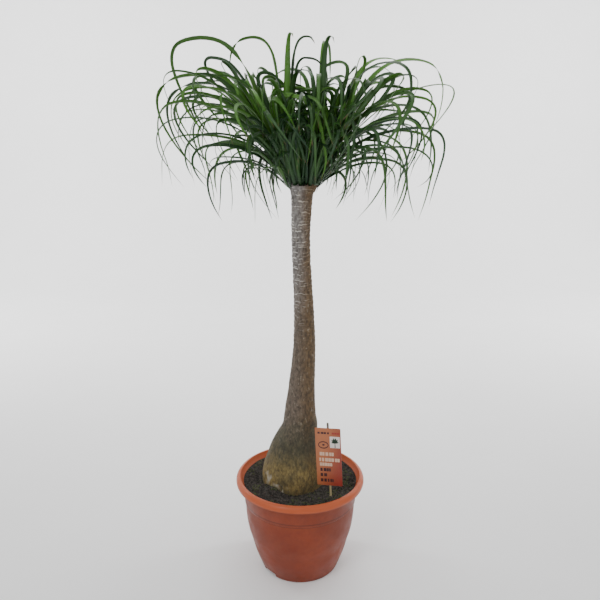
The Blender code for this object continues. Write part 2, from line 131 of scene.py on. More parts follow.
# ---- Plain marks on the card, in shares of its width and height: left, right, top, bottom ----
DARK_ROWS = (
    (0.10, 0.60, 0.068, 0.102), (0.15, 0.62, 0.695, 0.752),
    (0.15, 0.42, 0.787, 0.843), (0.15, 0.66, 0.882, 0.938),
)
PALE_ROWS = ((0.15, 0.76, 0.418, 0.478), (0.13, 0.95, 0.518, 0.578), (0.14, 0.66, 0.602, 0.658))
RED_ROW = (0.66, 0.94, 0.070, 0.100)

# ---- Trunk ----
CAUDEX_FOOT = (-0.0185, 0.005, 0.079)   # its middle and radius where it meets the soil
BARK_RINGS = 700
BARK_SIDES = 124
TRUNK_TOP = 1.021     # height where the stem ends between the two heads
TOP_GAP = 0.006       # the last level cut through the stem is this far below it
FOOT_GAP = 0.004      # and the first one this far above its foot
TRUNK_CUTS = 34
STEM_START = (-0.015, 0.004)   # x, y near the middle of the first cut
RING_SPACING = 0.0128
RING_DEPTH = 0.0004
RINGED_FROM = (0.46, 0.66)     # heights where the rings fade in
SWOLLEN_TO = (0.34, 0.48)      # and where the uneven swelling fades out
CALLUS_PLACES = (      # x, y, z, breadth and height of each patch of healed bark
    (-0.087, -0.042, 0.268, 0.017, 0.020),
    (-0.056, -0.066, 0.248, 0.026, 0.015),
)
HEAD_CUTS = (1.045, 1.069)
HEAD_AXES = {"left": (-0.020, -0.030), "right": (0.036, 0.046)}   # x of the axis near each cut
HEAD_Y = 0.002
HEAD_SPAN = (-1.9, 1.0)        # the skin's ends, counted from the low cut in gaps between the cuts
HEAD_INSET = 0.0008
HEAD_LEAST = 0.004             # the least radius, and how far it may widen past the low cut's
HEAD_RINGS = 40
HEAD_SIDES = 40

# ---- Leaves ----
BLADE_STATIONS = 34
BLADE_ACROSS = (-1.0, -0.5, 0.0, 0.5, 1.0)
BLADE_THICK = 0.0008
BLADE_CHANNEL = 0.17
BLADE_BASE = 0.60     # width at the foot as a share of the broadest
BLADE_NECK = 0.10     # share of its length over which it widens
BLADE_TAPER = 0.55
ARCH_STEPS = 6
GOLDEN_ANGLE = 137.508
EXTRA_LEAVES = {"left": (112, 20), "right": (100, 75)}
EXTRA_GROUPS = 4
SEED = 11

# ---- Rule for the leaves that fill the heads ----
# Heights, rises (in degrees) and widths are for the lowest and the highest leaf. The rest is least and most.
HEIGHTS = (0.045, 0.235)
RISES = (34, 82)
WIDTHS = (0.0095, 0.0145)
REACH_LUCK = (0.62, 1.05)
HEIGHT_LUCK = (0.72, 1.08)
HANG_LUCK = (0.5, 1.2)
WIDTH_LUCK = (0.85, 1.25)
ROLLS = (15, 65)
MOST_SWAY = 25
INSIDE_ROOM = 0.004   # a leaf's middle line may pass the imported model's box by this

# ---- Camera, and lamps as (name, place, aim, size, power) ----
CAMERA_PLACE = (0.0, -1.461, 1.074)
CAMERA_PITCH = 13.1   # degrees below level
LENS = 36.0           # focal length and sensor width, in millimetres
LAMPS = (
    ("key", (-1.5, -2.2, 2.7), (0.0, 0.0, 0.8), 1.2, 38.0),
    ("fill", (2.0, -1.8, 1.5), (0.0, 0.0, 0.7), 1.6, 9.0),
    ("top", (0.4, 0.6, 2.9), (0.0, 0.0, 1.0), 1.2, 16.0),
    ("wall_left", (-3.0, 1.6, 2.6), (-1.5, 5.0, 1.2), 2.0, 210.0),
    ("wall_right", (3.0, 1.6, 2.6), (1.5, 5.0, 1.2), 2.0, 210.0),
)
WORLD_STRENGTH = 0.72


# ---- Small tools ----
def catmull_rom(a, b, c, d, t):
    """The number between b and c at a share t on a smooth curve through all four."""
    square, cube = (2 * a - 5 * b + 4 * c - d) * t ** 2, (3 * b - a - 3 * c + d) * t ** 3
    return 0.5 * (2 * b + (c - a) * t + square + cube)


def smooth_through(rows, steps):
    """Rows of numbers with steps more between each two, on a Catmull-Rom curve through them."""
    out = []
    last = len(rows) - 1
    for i in range(last):
        four = rows[max(i - 1, 0)], rows[i], rows[i + 1], rows[min(i + 2, last)]
        for k in range(steps):
            out.append(tuple(catmull_rom(*parts, k / steps) for parts in zip(*four)))
    out.append(tuple(rows[last]))
    return out


def blend(low, high, share):
    return low + (high - low) * share


def ramp(value, low, high):
    """0 below low, 1 above high, smooth between."""
    t = max(0.0, min(1.0, (value - low) / (high - low)))
    return t * t * (3 - 2 * t)


def wobble(x, y, z, size, seed=0.0):
    """Smooth noise from -1 to 1 that changes over about size metres."""
    return noise.noise(Vector((x / size + seed, y / size - seed, z / size + 0.5 * seed)))


def linked(name, data):
    """A new object in the scene."""
    obj = bpy.data.objects.new(name, data)
    bpy.context.scene.collection.objects.link(obj)
    return obj


def new_object(name, mesh, slot, *materials):
    """A piece of the object that rides on its one body."""
    obj = linked(name, mesh)
    for material in materials:
        mesh.materials.append(material)
    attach(obj, BODY)
    return obj


def mesh_of(name, points, faces, smooth=True):
    mesh = bpy.data.meshes.new(name)
    mesh.from_pydata(points, [], faces)
    shape = bmesh.new()
    shape.from_mesh(mesh)
    bmesh.ops.recalc_face_normals(shape, faces=shape.faces)
    shape.to_mesh(mesh)
    shape.free()
    if smooth:
        mesh.shade_smooth()
    return mesh


def circle(radius, height, sides):
    """Points of a level circle round the axis."""
    turns = [math.tau * k / sides for k in range(sides)]
    return [(radius * math.cos(turn), radius * math.sin(turn), height) for turn in turns]


def tube_faces(rings, sides, close_start=True, close_end=True):
    """Faces of a tube whose points are rings of the same count, in order."""
    faces = []
    for i in range(rings - 1):
        for k in range(sides):
            a, b = i * sides + k, i * sides + (k + 1) % sides
            faces.append((a, b, b + sides, a + sides))
    if close_start:
        faces.append(tuple(reversed(range(sides))))
    if close_end:
        faces.append(tuple(range((rings - 1) * sides, rings * sides)))
    return faces


def turned_mesh(name, profile, sides):
    """A turned solid from (radius, height) points. Its first and last points are on the axis."""
    points = []
    start = Vector((0, 0, profile[0][1]))
    end = Vector((0, 0, profile[-1][1]))
    rings = profile[1:-1]
    for radius, height in rings:
        points += circle(radius, height, sides)
    faces = tube_faces(len(rings), sides, False, False)
    first, last = len(points), len(points) + 1
    points += [start, end]
    base = (len(rings) - 1) * sides
    for k in range(sides):
        faces.append((first, (k + 1) % sides, k))
        faces.append((last, base + k, base + (k + 1) % sides))
    return mesh_of(name, points, faces)


def float_attribute(mesh, name, values):
    layer = mesh.attributes.new(name, "FLOAT", "POINT")
    layer.data.foreach_set("value", values)


def evaluated_mesh(obj):
    """The object's mesh with its modifiers applied, as a mesh of its own."""
    return bpy.data.meshes.new_from_object(obj.evaluated_get(bpy.context.evaluated_depsgraph_get()))


# ---- Materials ----
class Look:
    """A material and short ways to add nodes to it."""

    def __init__(self, name, roughness=0.5, specular=0.5):
        self.material = bpy.data.materials.new(name)
        self.material.use_nodes = True
        self.nodes = self.material.node_tree.nodes
        self.links = self.material.node_tree.links
        self.shader = self.nodes["Principled BSDF"]
        self.shader.inputs["Roughness"].default_value = roughness
        self.shader.inputs["Specular IOR Level"].default_value = specular

    def node(self, kind, **values):
        made = self.nodes.new(kind)
        for key, value in values.items():
            setattr(made, key, value)
        return made

    def feed(self, socket, value):
        if isinstance(value, bpy.types.NodeSocket):
            self.links.new(value, socket)
        elif isinstance(value, tuple) and len(value) == 3 and socket.type == "RGBA":
            socket.default_value = (*value, 1.0)
        else:
            socket.default_value = value

    def place(self, scale=(1.0, 1.0, 1.0)):
        """The point's own place in metres, times scale."""
        coords = self.node("ShaderNodeTexCoord")
        mapping = self.node("ShaderNodeMapping")
        self.feed(mapping.inputs["Vector"], coords.outputs["Object"])
        mapping.inputs["Scale"].default_value = scale
        return mapping.outputs["Vector"]

    def noise(self, scale, detail=4.0, stretch=(1.0, 1.0, 1.0), roughness=0.55):
        made = self.node("ShaderNodeTexNoise")
        self.feed(made.inputs["Vector"], self.place(stretch))
        made.inputs["Scale"].default_value = scale
        made.inputs["Detail"].default_value = detail
        made.inputs["Roughness"].default_value = roughness
        return made.outputs["Fac"]

    def cell_edges(self, scale, stretch):
        """How far the point is from the nearest edge between random cells."""
        made = self.node("ShaderNodeTexVoronoi", feature="DISTANCE_TO_EDGE")
        self.feed(made.inputs["Vector"], self.place(stretch))
        made.inputs["Scale"].default_value = scale
        return made.outputs["Distance"]

    def attribute(self, name):
        made = self.node("ShaderNodeAttribute", attribute_name=name)
        return made.outputs["Fac"]

    def math(self, operation, a, b=0.0, clamp=False):
        made = self.node("ShaderNodeMath", operation=operation, use_clamp=clamp)
        self.feed(made.inputs[0], a)
        self.feed(made.inputs[1], b)
        return made.outputs["Value"]

    def times(self, a, b):
        return self.math("MULTIPLY", a, b)

    def plus(self, a, b):
        return self.math("ADD", a, b)

    def minus(self, a, b, clamp=False):
        return self.math("SUBTRACT", a, b, clamp)

    def range(self, value, low, high, out_low=0.0, out_high=1.0):
        made = self.node("ShaderNodeMapRange", interpolation_type="SMOOTHSTEP")
        self.feed(made.inputs["Value"], value)
        ends = {"From Min": low, "From Max": high, "To Min": out_low, "To Max": out_high}
        for key, number in ends.items():
            made.inputs[key].default_value = number
        return made.outputs["Result"]

    def mix(self, share, a, b, how="MIX"):
        made = self.node("ShaderNodeMix", data_type="RGBA", blend_type=how)
        self.feed(made.inputs["Factor"], share)
        self.feed(made.inputs[6], a)
        self.feed(made.inputs[7], b)
        return made.outputs[2]

    def axis(self, letter):
        """The point's own x, y or z in metres."""
        split = self.node("ShaderNodeSeparateXYZ")
        self.feed(split.inputs["Vector"], self.place())
        return split.outputs[letter]

    def colour(self, value):
        self.feed(self.shader.inputs["Base Color"], value)

    def roughness(self, value):
        self.feed(self.shader.inputs["Roughness"], value)

    def bump(self, height, depth, strength=1.0):
        made = self.node("ShaderNodeBump")
        self.feed(made.inputs["Height"], height)
        made.inputs["Distance"].default_value = depth
        made.inputs["Strength"].default_value = strength
        self.feed(self.shader.inputs["Normal"], made.outputs["Normal"])


def pot_look():
    look = Look("moulded_terracotta_plastic", 0.42, 0.32)
    body = look.mix(look.range(look.noise(9.0), 0.35, 0.7), (0.180, 0.028, 0.009), (0.230, 0.038, 0.012))
    fine = look.range(look.noise(90.0, 6.0), 0.35, 0.75)
    body = look.mix(look.times(fine, 0.35), body, (0.145, 0.022, 0.008))
    dusty = look.times(look.range(look.noise(26.0, 7.0, roughness=0.7), 0.55, 0.78), 0.22)
    body = look.mix(dusty, body, (0.26, 0.070, 0.030))
    rim_foot = POT_HEIGHT - RIM_DROP
    # Painted highlight: the rolled rim is painted lighter and more orange, as if lit from above.
    rim = look.range(look.axis("Z"), rim_foot - 0.001, rim_foot + 0.006)
    body = look.mix(look.times(rim, 0.85), body, (0.46, 0.092, 0.028))
    shade = look.range(look.axis("Z"), rim_foot - 0.014, rim_foot - 0.001, 0.0, 0.45)
    shade = look.times(shade, look.minus(1.0, rim))
    body = look.mix(shade, body, (0.060, 0.012, 0.005))
    collar_foot = COLLAR_FOOT[1] * POT_HEIGHT
    # Painted shade: two thin dark lines at the collar's step, where its shadow falls.
    for height in (collar_foot - 0.001, collar_foot + 0.0065):
        away = look.math("ABSOLUTE", look.minus(look.axis("Z"), height))
        body = look.mix(look.range(away, 0.0022, 0.0006, 0.0, 0.6), body, (0.060, 0.012, 0.005))
    foot = look.times(look.range(look.axis("Z"), 0.05, 0.0), look.range(look.noise(45.0, 6.0), 0.4, 0.65))
    body = look.mix(look.times(foot, 0.4), body, (0.110, 0.035, 0.020))
    look.colour(body)
    look.roughness(look.range(look.noise(30.0, 6.0), 0.3, 0.75, 0.36, 0.55))
    look.bump(look.noise(260.0, 3.0), 0.0004, 0.35)
    return look.material


def soil_look(name, dark, light, moss):
    look = Look(name, 0.95, 0.25)
    grain = look.range(look.noise(160.0, 8.0, roughness=0.7), 0.35, 0.7)
    body = look.mix(grain, dark, light)
    green = look.times(look.range(look.noise(18.0, 5.0), 0.5, 0.66), look.range(look.noise(120.0), 0.4, 0.6))
    body = look.mix(look.times(green, moss), body, (0.078, 0.090, 0.038))
    look.colour(body)
    look.bump(look.noise(320.0, 8.0, roughness=0.75), 0.0025, 0.9)
    return look.material


def plain_look(name, colour, roughness, vary=0.15, scale=60.0):
    """A nearly even colour with faint mottling."""
    look = Look(name, roughness)
    darker = tuple(c * (1 - vary) for c in colour)
    look.colour(look.mix(look.range(look.noise(scale, 5.0), 0.35, 0.65), darker, colour))
    look.bump(look.noise(scale * 6, 3.0), 0.0002, 0.25)
    return look.material


def bark_look():
    """Grey-brown stem with pale leaf scars above, an olive, finely mottled swollen base below. Partly painted
    light: lighter on the left, darker on the right.
    """
    look = Look("ringed_grey_bark", 0.85)
    height = look.axis("Z")
    # Painted light: the bark is painted lighter and greyer towards the left, as if lit from there, and darker
    # and browner towards the right, as if in shade; partly its own grey and brown.
    sideways = look.plus(look.axis("X"), look.times(look.noise(30.0, 5.0), 0.022))
    fine = look.range(look.noise(170.0, 8.0, (1.0, 1.0, 0.45), 0.70), 0.30, 0.72)
    patch = look.range(look.noise(26.0, 6.0, (1.0, 1.0, 0.7), 0.6), 0.36, 0.68)
    # The lighter left colours are painted light and the darker right ones painted shade, partly the bark's
    # own tone.
    lit_left_silver = look.mix(fine, (0.075, 0.066, 0.060), (0.300, 0.282, 0.268))
    shaded_right_tan = look.mix(fine, (0.046, 0.028, 0.014), (0.160, 0.096, 0.044))
    high = look.mix(look.range(sideways, 0.000, 0.036), lit_left_silver, shaded_right_tan)
    lit_left_ash = look.mix(fine, (0.050, 0.037, 0.027), (0.165, 0.126, 0.092))
    shaded_right_umber = look.mix(fine, (0.044, 0.027, 0.013), (0.155, 0.096, 0.043))
    middle = look.mix(look.range(sideways, -0.004, 0.040), lit_left_ash, shaded_right_umber)
    body = look.mix(look.range(height, 0.88, 0.62), high, middle)
    dark_olive = look.mix(fine, (0.028, 0.027, 0.016), (0.086, 0.074, 0.038))
    yellow_olive = look.mix(fine, (0.076, 0.056, 0.020), (0.290, 0.210, 0.070))
    low_part = look.range(look.plus(height, look.times(look.noise(14.0, 3.0), 0.06)), 0.400, 0.310)
    glow = look.times(low_part, look.range(look.noise(12.0, 3.0), 0.32, 0.62, 0.15, 1.0))
    base = look.mix(glow, dark_olive, yellow_olive)
    border = look.plus(height, look.times(look.noise(18.0, 5.0), 0.09))
    body = look.mix(look.range(border, 0.500, 0.400), body, base)
    body = look.mix(look.times(patch, 0.30), body, look.mix(1.0, body, (0.50, 0.46, 0.42), "MULTIPLY"))
    net = look.cell_edges(110.0, (1.0, 1.0, 0.35))
    cracks = look.times(look.range(net, 0.10, 0.01), look.range(look.noise(28.0, 4.0), 0.46, 0.62))
    dark = look.times(cracks, look.range(height, 0.80, 0.50, 0.15, 0.35))
    body = look.mix(dark, body, (0.026, 0.019, 0.011))
    flecks = look.range(look.noise(150.0, 4.0, (1.0, 1.0, 0.5), 0.6), 0.58, 0.68)
    flecks = look.times(flecks, look.range(height, 0.34, 0.46, 0.10, 0.45))
    body = look.mix(flecks, body, (0.32, 0.27, 0.20))
    scars = scar_lines(look, 0.0135, 0.070, 3.0)
    scars = look.math("MAXIMUM", scars, look.times(scar_lines(look, 0.0069, 0.110, 9.0), 0.75))
    scars = look.times(scars, look.range(height, 0.60, 0.82))
    # Painted light: the scars fade towards the shaded right, and are pale grey on the lit left and browner on
    # the right.
    scars = look.times(scars, look.range(sideways, 0.030, 0.012, 0.35, 1.0))
    pale = look.mix(look.range(sideways, 0.000, 0.036), (0.58, 0.555, 0.515), (0.40, 0.310, 0.200))
    body = look.mix(scars, body, pale)
    healed = look.attribute("callus")
    flake = look.times(healed, look.range(look.noise(90.0, 6.0, (1.0, 1.0, 0.4)), 0.42, 0.64))
    body = look.mix(look.times(flake, 0.80), body, (0.40, 0.37, 0.30))
    look.colour(body)
    rough = look.plus(look.noise(420.0, 8.0, (1.0, 1.0, 0.7), 0.7), look.times(scars, 0.5))
    look.bump(look.minus(rough, look.times(cracks, 0.4)), 0.0012, 0.7)
    return look.material


def scar_lines(look, spacing, thickness, seed):
    """Thin broken level lines round the stem: 1 on a line, 0 off it. Thickness is a share of the spacing."""
    warp = look.times(look.noise(22.0, 4.0, (1.0, 1.0, 0.8)), 0.9 * spacing + 0.014)
    row = look.math("DIVIDE", look.plus(look.axis("Z"), warp), spacing)
    away = look.math("ABSOLUTE", look.minus(look.math("FRACT", row), 0.5))
    line = look.range(away, thickness * 1.6, thickness * 0.4)
    index = look.node("ShaderNodeTexNoise", noise_dimensions="4D")
    look.feed(index.inputs["Vector"], look.place((1.0, 1.0, 0.05)))
    look.feed(index.inputs["W"], look.plus(look.times(look.math("FLOOR", row), 5.37), seed))
    index.inputs["Scale"].default_value = 62.0
    index.inputs["Detail"].default_value = 1.0
    return look.times(line, look.range(index.outputs["Fac"], 0.50, 0.60))


def leaf_look():
    look = Look("strap_leaf", 0.34, 0.38)
    tone = look.attribute("tone")
    along = look.attribute("along")
    across = look.attribute("across")
    # Painted shade: low leaves get a darker tone and a bluer deep green, as if in the crown's shade; the tone
    # is also random per leaf.
    deep = look.mix(look.attribute("blue_shade"), (0.008, 0.042, 0.007), (0.004, 0.028, 0.013))
    green = look.mix(tone, deep, (0.070, 0.200, 0.014))
    base_tint = look.times(look.range(along, 0.42, 0.04), look.attribute("warm"))
    green = look.mix(base_tint, green, (0.240, 0.360, 0.020))
    base_dark = look.times(look.range(along, 0.26, 0.0), look.minus(0.80, base_tint, True))
    green = look.mix(base_dark, green, (0.005, 0.022, 0.010))
    mottled = look.range(look.noise(55.0, 5.0), 0.35, 0.7)
    green = look.mix(look.times(mottled, 0.25), green, (0.016, 0.065, 0.012))
    veins = look.node("ShaderNodeTexWave", wave_type="BANDS", bands_direction="X", wave_profile="SIN")
    lane = look.node("ShaderNodeCombineXYZ")
    look.feed(lane.inputs["X"], across)
    look.feed(veins.inputs["Vector"], lane.outputs["Vector"])
    veins.inputs["Scale"].default_value = 2.6
    green = look.mix(look.times(veins.outputs["Fac"], 0.12), green, (0.090, 0.190, 0.035))
    rib = look.range(look.math("ABSOLUTE", across), 0.10, 0.0)
    green = look.mix(look.times(rib, 0.18), green, (0.11, 0.19, 0.07))
    worn = look.plus(along, look.times(look.noise(35.0, 4.0), 0.05))
    green = look.mix(look.range(worn, 0.965, 1.015), green, (0.13, 0.085, 0.035))
    look.colour(green)
    look.roughness(look.range(look.noise(40.0, 4.0), 0.3, 0.7, 0.27, 0.40))
    look.bump(veins.outputs["Fac"], 0.0002, 0.5)
    return look.material


def card_look(left, right):
    """The card's face, from light orange on one side to red on the other and low down."""
    look = Look("printed_card", 0.42)
    width = right[0] - left[0]
    share = look.math("DIVIDE", look.minus(look.axis("X"), left[0]), width)
    fall = look.math("DIVIDE", look.minus(right[2], look.axis("Z")), right[2] - left[2])
    place = look.plus(look.times(share, 0.72), look.times(fall, 0.28))
    body = look.mix(look.range(place, 0.25, 0.95), (0.38, 0.122, 0.046), (0.215, 0.014, 0.008))
    look.colour(look.mix(look.times(look.noise(70.0, 4.0), 0.12), body, (0.44, 0.20, 0.10)))
    look.bump(look.noise(500.0, 2.0), 0.0001, 0.2)
    return look.material


def floor_look():
    look = Look("pale_floor", 0.9)
    look.colour(look.mix(look.noise(3.0, 2.0), (0.86, 0.86, 0.86), (0.90, 0.90, 0.90)))
    return look.material


# ---- Pot ----
def pot_wall(inset):
    """The wall's outside line in metres, moved in by inset."""
    return [(r * RIM_RADIUS - inset, z * POT_HEIGHT) for r, z in smooth_through(WALL_CURVE, 9)]


def rim_section():
    """The rolled rim, from inside the mouth over to its underside."""
    low = POT_HEIGHT - RIM_DROP
    half = RIM_THICK / 2
    middle = RIM_RADIUS - half
    out = [(r * RIM_RADIUS, z * POT_HEIGHT) for r, z in RIM_INSIDE]
    for k in range(RIM_STEPS + 1):
        angle = math.radians(RIM_ARC[0] - RIM_ARC[1] * k / RIM_STEPS)
        out.append((middle + half * math.cos(angle), POT_HEIGHT - RIM_ROUND + RIM_ROUND * math.sin(angle)))
    out += [(middle + r, low + z) for r, z in RIM_UNDERSIDE]
    return out


def make_pot(material):
    inner = [(0.0, FLOOR_TOP)] + [(r, max(z, FLOOR_TOP)) for r, z in pot_wall(WALL)]
    collar = [(COLLAR_TOP[0] * RIM_RADIUS, COLLAR_TOP[1] * POT_HEIGHT)]
    collar += [(COLLAR_FOOT[0] * RIM_RADIUS - r, COLLAR_FOOT[1] * POT_HEIGHT + z) for r, z in COLLAR_EDGE]
    outer = list(reversed(pot_wall(0.0)))
    foot = WALL_CURVE[0][0] * RIM_RADIUS - FOOT_INSET
    base = [(foot + r, z) for r, z in FOOT_EDGE]
    base += [(foot - FOOT_RING, 0.0), (foot - FOOT_RING, FOOT_DEPTH), (0.0, FOOT_DEPTH)]
    mesh = turned_mesh("pot_body", inner + rim_section() + collar + outer + base, POT_SIDES)
    pot = new_object("nursery_pot", mesh, "pot_plastic", material)
    cutters = []
    for azimuth in NOTCH_AZIMUTHS:
        place = Matrix.Rotation(math.radians(azimuth), 4, "Z")
        centre = Matrix.Translation((foot + FOOT_INSET, 0.0, (NOTCH[2] - NOTCH_BELOW) / 2))
        size = Matrix.Diagonal((NOTCH[0], NOTCH[1], NOTCH[2] + NOTCH_BELOW, 1.0))
        shape = bmesh.new()
        bmesh.ops.create_cube(shape, size=1.0, matrix=place @ centre @ size)
        tops = [e for e in shape.edges if all(v.co.z > 0 for v in e.verts)]
        radial = Vector((math.cos(math.radians(azimuth)), math.sin(math.radians(azimuth)), 0))
        tops = [e for e in tops if abs((e.verts[0].co - e.verts[1].co).normalized().dot(radial)) > 0.9]
        bmesh.ops.bevel(shape, geom=tops, offset=NOTCH_ROUND, segments=4, affect="EDGES", profile=0.5)
        cutters.append(shape)
    for number in range(DRAIN_HOLES):
        turn = Matrix.Rotation(math.tau * number / DRAIN_HOLES, 4, "Z")
        place = turn @ Matrix.Translation((DRAIN_CIRCLE, 0, FLOOR_TOP / 2))
        shape = bmesh.new()
        bmesh.ops.create_cone(
            shape, cap_ends=True, segments=32, radius1=DRAIN_RADIUS, radius2=DRAIN_RADIUS,
            depth=FLOOR_TOP * 2, matrix=place,
        )
        cutters.append(shape)
    for shape in cutters:
        cut_out(pot, shape)
    pot.data.set_sharp_from_angle(angle=math.radians(38))
    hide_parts("pot")


def cut_out(obj, shape):
    """Takes a closed bmesh away from the object's mesh."""
    mesh = bpy.data.meshes.new("cutter")
    shape.to_mesh(mesh)
    shape.free()
    tool = linked("cutter", mesh)
    step = obj.modifiers.new("cut", "BOOLEAN")
    step.operation = "DIFFERENCE"
    step.object = tool
    bpy.context.view_layer.update()
    made = evaluated_mesh(obj)
    obj.modifiers.remove(step)
    obj.data = made
    bpy.data.objects.remove(tool, do_unlink=True)


# ---- Soil ----
def soil_height(x, y):
    """The lumpy top of the soil, higher at the rim and heaped on the front left."""
    share = min(1.0, math.hypot(x, y) / SOIL_RADIUS)
    height = SOIL_EDGE - SOIL_RISE
    for (low, start), (high, end) in zip(SOIL_CURVE, SOIL_CURVE[1:]):
        if low <= share <= high:
            height += SOIL_RISE * blend(start, end, (share - low) / (high - low))
            break
    lumps = 0.0
    for lump, size, seed in LUMPS:
        lumps += lump * wobble(x, y, 0, size, seed)
    mound_x, mound_y, breadth, tall = MOSS_MOUND
    heap = tall * math.exp(-(((x - mound_x) / breadth) ** 2 + ((y - mound_y) / breadth) ** 2))
    return height + lumps * (1 - 0.6 * ramp(share, 0.85, 1.0)) + heap * (1 - ramp(share, 0.80, 1.0))


def make_soil(material):
    points = []
    for i in range(1, SOIL_RINGS + 1):
        for x, y, _ in circle(SOIL_RADIUS * (i / SOIL_RINGS), 0.0, SOIL_SIDES):
            points.append((x, y, soil_height(x, y)))
    rings = SOIL_RINGS
    wall = [(r - WALL - SOIL_GAP, z) for r, z in reversed(pot_wall(0.0)) if z > FLOOR_TOP + SOIL_CORNER]
    below = [(RIM_INSIDE[0][0] * RIM_RADIUS - SOIL_GAP, RIM_INSIDE[0][1] * POT_HEIGHT)] + wall
    for radius, height in below[::4] + [below[-1], (below[-1][0] - SOIL_CORNER, FLOOR_TOP + SOIL_LIFT)]:
        rings += 1
        points += circle(radius, height, SOIL_SIDES)
    faces = tube_faces(rings, SOIL_SIDES, False, True)
    centre = len(points)
    points.append((0.0, 0.0, soil_height(0, 0)))
    faces += [(centre, (k + 1) % SOIL_SIDES, k) for k in range(SOIL_SIDES)]
    soil = new_object("compost", mesh_of("compost", points, faces), "soil", material)
    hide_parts("soil")


def make_crumbs(name, count, sizes, flatness, material, draw, keep_off, cluster=None):
    """Small lumps that lie on the soil, each a rough little stone, in one piece."""
    shape = bmesh.new()
    placed = 0
    while placed < count:
        radius = (SOIL_RADIUS - CRUMB_MARGIN) * math.sqrt(draw.random())
        angle = draw.uniform(0, math.tau)
        x, y = radius * math.cos(angle), radius * math.sin(angle)
        if keep_off(x, y) or (cluster and draw.random() > cluster(x, y)):
            continue
        size = draw.uniform(*sizes)
        lump = bmesh.ops.create_icosphere(shape, subdivisions=1, radius=1.0)["verts"]
        broad = size * draw.uniform(*CRUMB_BREADTH)
        tall = size * flatness * draw.uniform(*CRUMB_TALL)
        grow = Matrix.Diagonal((size, broad, tall, 1.0))
        turn = Matrix.Rotation(draw.uniform(0, math.tau), 4, "Z")
        tip_x, tip_y = (Matrix.Rotation(draw.uniform(-CRUMB_TIP, CRUMB_TIP), 4, axis) for axis in "XY")
        place = Matrix.Translation((x, y, soil_height(x, y) + CRUMB_LIFT * size * flatness))
        for vert in lump:
            vert.co *= draw.uniform(*CRUMB_ROUGH)
        bmesh.ops.transform(shape, matrix=place @ turn @ (tip_x @ tip_y) @ grow, verts=lump)
        placed += 1
    mesh = bpy.data.meshes.new(name)
    shape.to_mesh(mesh)
    shape.free()
    return new_object(name, mesh, "soil", material)


# ---- Trunk ----
class TrunkShape:
    """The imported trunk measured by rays: its middle and its radius at each height."""

    def __init__(self):
        self.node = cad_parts["trunk"]
        self.tree = BVHTree.FromObject(self.node, bpy.context.evaluated_depsgraph_get())
        low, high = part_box("trunk")
        self.low, self.high = low[2], high[2]

    def slice(self, height, near, reach=0.3, rays=48):
        """The middle and mean radius of the skin round a point near the middle, at one height."""
        middle = Vector((near[0], near[1], height))
        for _ in range(4):
            spots = [self.tree.ray_cast(middle, Vector(way), reach)[0] for way in circle(1.0, 0.0, rays)]
            hits = [spot for spot in spots if spot is not None]
            middle = Vector((sum(p.x for p in hits) / len(hits), sum(p.y for p in hits) / len(hits), height))
        return middle, sum((p - middle).length for p in hits) / len(hits)


def trunk_rows(shape):
    """(height, middle x, middle y, radius) up the stem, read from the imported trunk."""
    rows = []
    near = STEM_START
    for i in range(TRUNK_CUTS + 1):
        height = blend(shape.low + FOOT_GAP, TRUNK_TOP - TOP_GAP, i / TRUNK_CUTS)
        middle, radius = shape.slice(height, near)
        near = (middle.x, middle.y)
        rows.append((height, middle.x, middle.y, radius))
    return rows


def bark_point(angle, height, middle, radius):
    """Where the bark's skin is: ringed on the stem, rough all over, uneven on the swollen base."""
    stem = ramp(height, *RINGED_FROM)
    swell = 1 - ramp(height, *SWOLLEN_TO)
    cx, cy = math.cos(angle), math.sin(angle)
    x, y = middle[0] + radius * cx, middle[1] + radius * cy
    ring = height / RING_SPACING + 0.4 * wobble(cx, cy, height * 9, 1.1, 2.2)
    push = RING_DEPTH * stem * math.cos(math.tau * ring)
    push += 0.0008 * wobble(x, y, height, 0.02, 1.0) + 0.0005 * wobble(x, y, height, 0.006, 2.0)
    bulge = 0.0026 * wobble(x, y, height, 0.07, 8.0) + 0.0013 * wobble(x, y, height * 0.6, 0.022, 9.0)
    push += swell * bulge
    return x + push * cx, y + push * cy


def make_trunk(shape, material):
    rows = smooth_through(trunk_rows(shape), 24)
    low, high = rows[0][0], rows[-1][0]
    points, calluses = [], []
    place = 0
    for i in range(BARK_RINGS + 1):
        height = blend(low, high, i / BARK_RINGS)
        while place < len(rows) - 2 and rows[place + 1][0] < height:
            place += 1
        share = (height - rows[place][0]) / (rows[place + 1][0] - rows[place][0])
        _, mx, my, radius = (blend(a, b, share) for a, b in zip(rows[place], rows[place + 1]))
        for k in range(BARK_SIDES):
            angle = math.tau * k / BARK_SIDES
            x, y = bark_point(angle, height, (mx, my), radius)
            points.append((x, y, height))
            calluses.append(callus(x, y, height))
    faces = tube_faces(BARK_RINGS + 1, BARK_SIDES)
    mesh = mesh_of("stem", points, faces)
    float_attribute(mesh, "callus", calluses)
    trunk = new_object("trunk_and_caudex", mesh, "bark", material)
    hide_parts("trunk")


def callus(x, y, height):
    """Pale healed bark low on the front left of the swollen base. 0 to 1."""
    worth = 0.0
    for px, py, pz, wide, tall in CALLUS_PLACES:
        gap = ((x - px) / wide) ** 2 + ((y - py) / wide) ** 2 + ((height - pz) / tall) ** 2
        worth = max(worth, 1 - ramp(gap + 0.8 * wobble(x, y, height, 0.008, 6.0), 0.4, 1.3))
    return worth


def head_lines(shape):
    """Each head's axis as (low middle, low radius, high middle, high radius), from two cuts."""
    out = {}
    for name, places in HEAD_AXES.items():
        low, high = (shape.slice(height, (x, HEAD_Y)) for height, x in zip(HEAD_CUTS, places))
        out[name] = (*low, *high)
    return out


